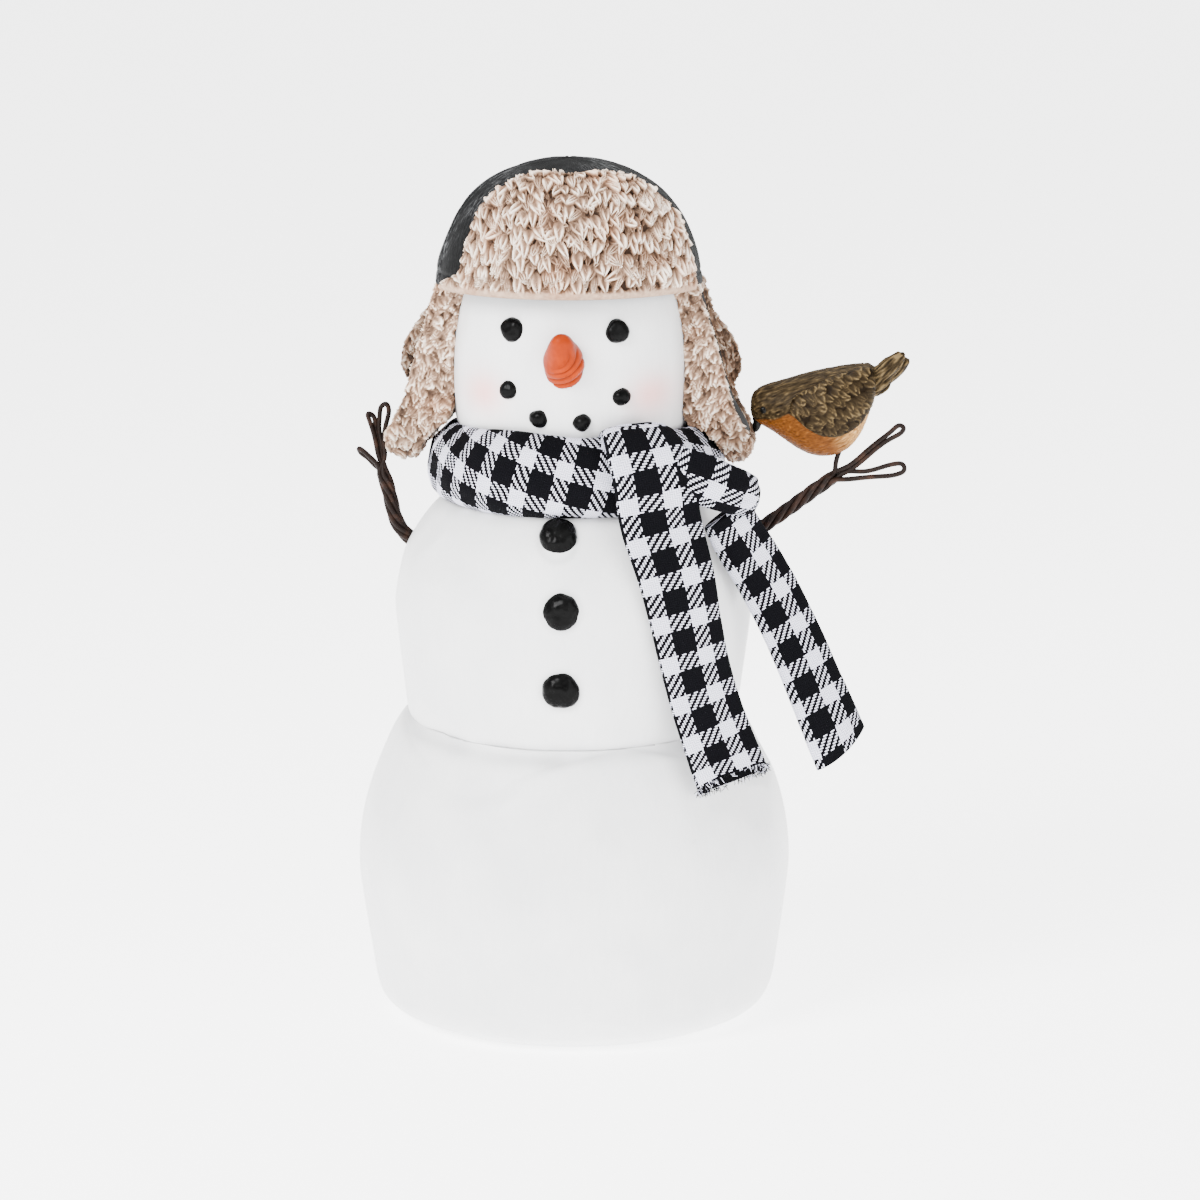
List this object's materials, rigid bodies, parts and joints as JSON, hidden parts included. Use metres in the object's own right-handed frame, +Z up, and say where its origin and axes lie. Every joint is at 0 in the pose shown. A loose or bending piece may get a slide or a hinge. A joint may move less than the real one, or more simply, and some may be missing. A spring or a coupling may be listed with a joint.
{
  "type": "snowman figure",
  "caption": "Tabletop snowman ornament with a fleece trapper hat, coal buttons, carrot nose, checked scarf with hanging tails, bendable twisted wire arms and a perched robin",
  "frame": {"origin": "middle of the underside of the felt pad, on the surface the figure stands on", "axes": "+Z up along the figure, -Y is where the snowman looks, +X is its left hand with the robin"},
  "size_m": [0.1536, 0.1212, 0.2412],
  "materials": {
    "body_white": "satin white paint over cast resin, faint grey wash in the creases",
    "hat_charcoal": "charcoal paint with dry-brushed grey streaks over cast resin",
    "fleece_cream": "cream and tan washed sculpted fleece, cast resin",
    "coal_black": "glossy black paint on cast lumps",
    "carrot_orange": "satin orange paint",
    "scarf_check": "black and white woven check",
    "wire_brown": "dark brown coated craft wire with rust tints",
    "robin_brown": "olive brown with golden dry brush, orange breast",
    "robin_dark": "dark beak and eyes",
    "felt": "pressed felt",
    "plug_rubber": "moulded stopper",
    "dowel_wood": "plain birch dowel"
  },
  "bodies": {
    "figure": {"felt_pad": "felt", "base_plug": "plug_rubber", "base_ball": "body_white", "waist_dowel": "dowel_wood", "torso_ball": "body_white", "neck_dowel": "dowel_wood", "head": "body_white", "hat_crown": "hat_charcoal", "hat_brim": "fleece_cream", "ear_flap_left_fleece": "fleece_cream", "ear_flap_left_cover": "hat_charcoal", "ear_flap_right_fleece": "fleece_cream", "ear_flap_right_cover": "hat_charcoal", "neck_flap_fleece": "fleece_cream", "neck_flap_cover": "hat_charcoal", "nose_carrot": "carrot_orange", "eye_left": "coal_black", "eye_right": "coal_black", "mouth_coal_1": "coal_black", "mouth_coal_2": "coal_black", "mouth_coal_3": "coal_black", "mouth_coal_4": "coal_black", "button_top": "coal_black", "button_middle": "coal_black", "button_bottom": "coal_black", "scarf_wrap": "scarf_check", "scarf_crossover": "scarf_check", "scarf_knot": "scarf_check", "left_arm_root": "wire_brown", "right_arm_root": "wire_brown"},
    "left_arm": {"left_arm_wire_low": "wire_brown", "left_arm_wire_middle": "wire_brown", "left_arm_wire_high": "wire_brown"},
    "right_arm": {"right_arm_wire_upper": "wire_brown", "right_arm_wire_loop": "wire_brown", "bird_leg_wire": "wire_brown"},
    "robin": {"bird_body": "robin_brown", "bird_wing_left": "robin_brown", "bird_wing_right": "robin_brown", "bird_tail": "robin_brown", "bird_beak": "robin_dark", "bird_eye_left": "robin_dark", "bird_eye_right": "robin_dark"},
    "front_tail": {"scarf_front_tail": "scarf_check"},
    "side_tail": {"scarf_side_tail": "scarf_check"}
  },
  "joints": [
    {"name": "left_arm_bend", "type": "hinge", "parent": "figure", "child": "left_arm", "pos_m": [-0.0457, -0.003, 0.134], "axis": [0, -1, 0], "range_deg": [0, 30]},
    {"name": "right_arm_bend", "type": "hinge", "parent": "figure", "child": "right_arm", "pos_m": [0.0457, -0.003, 0.134], "axis": [0, 1, 0], "range_deg": [0, 25]},
    {"name": "robin_swivel", "type": "hinge", "parent": "right_arm", "child": "robin", "pos_m": [0.0723, -0.003, 0.1556], "axis": [0.2804, 0, 0.9599], "range_deg": [-40, 40]},
    {"name": "front_tail_lift", "type": "hinge", "parent": "figure", "child": "front_tail", "pos_m": [0.02692, -0.04169, 0.1475], "axis": [-0.8829, -0.4695, 0], "range_deg": [0, 75]},
    {"name": "side_tail_lift", "type": "hinge", "parent": "figure", "child": "side_tail", "pos_m": [0.04589, -0.02633, 0.142], "axis": [-0.829, -0.5592, 0], "range_deg": [0, 60]}
  ]
}
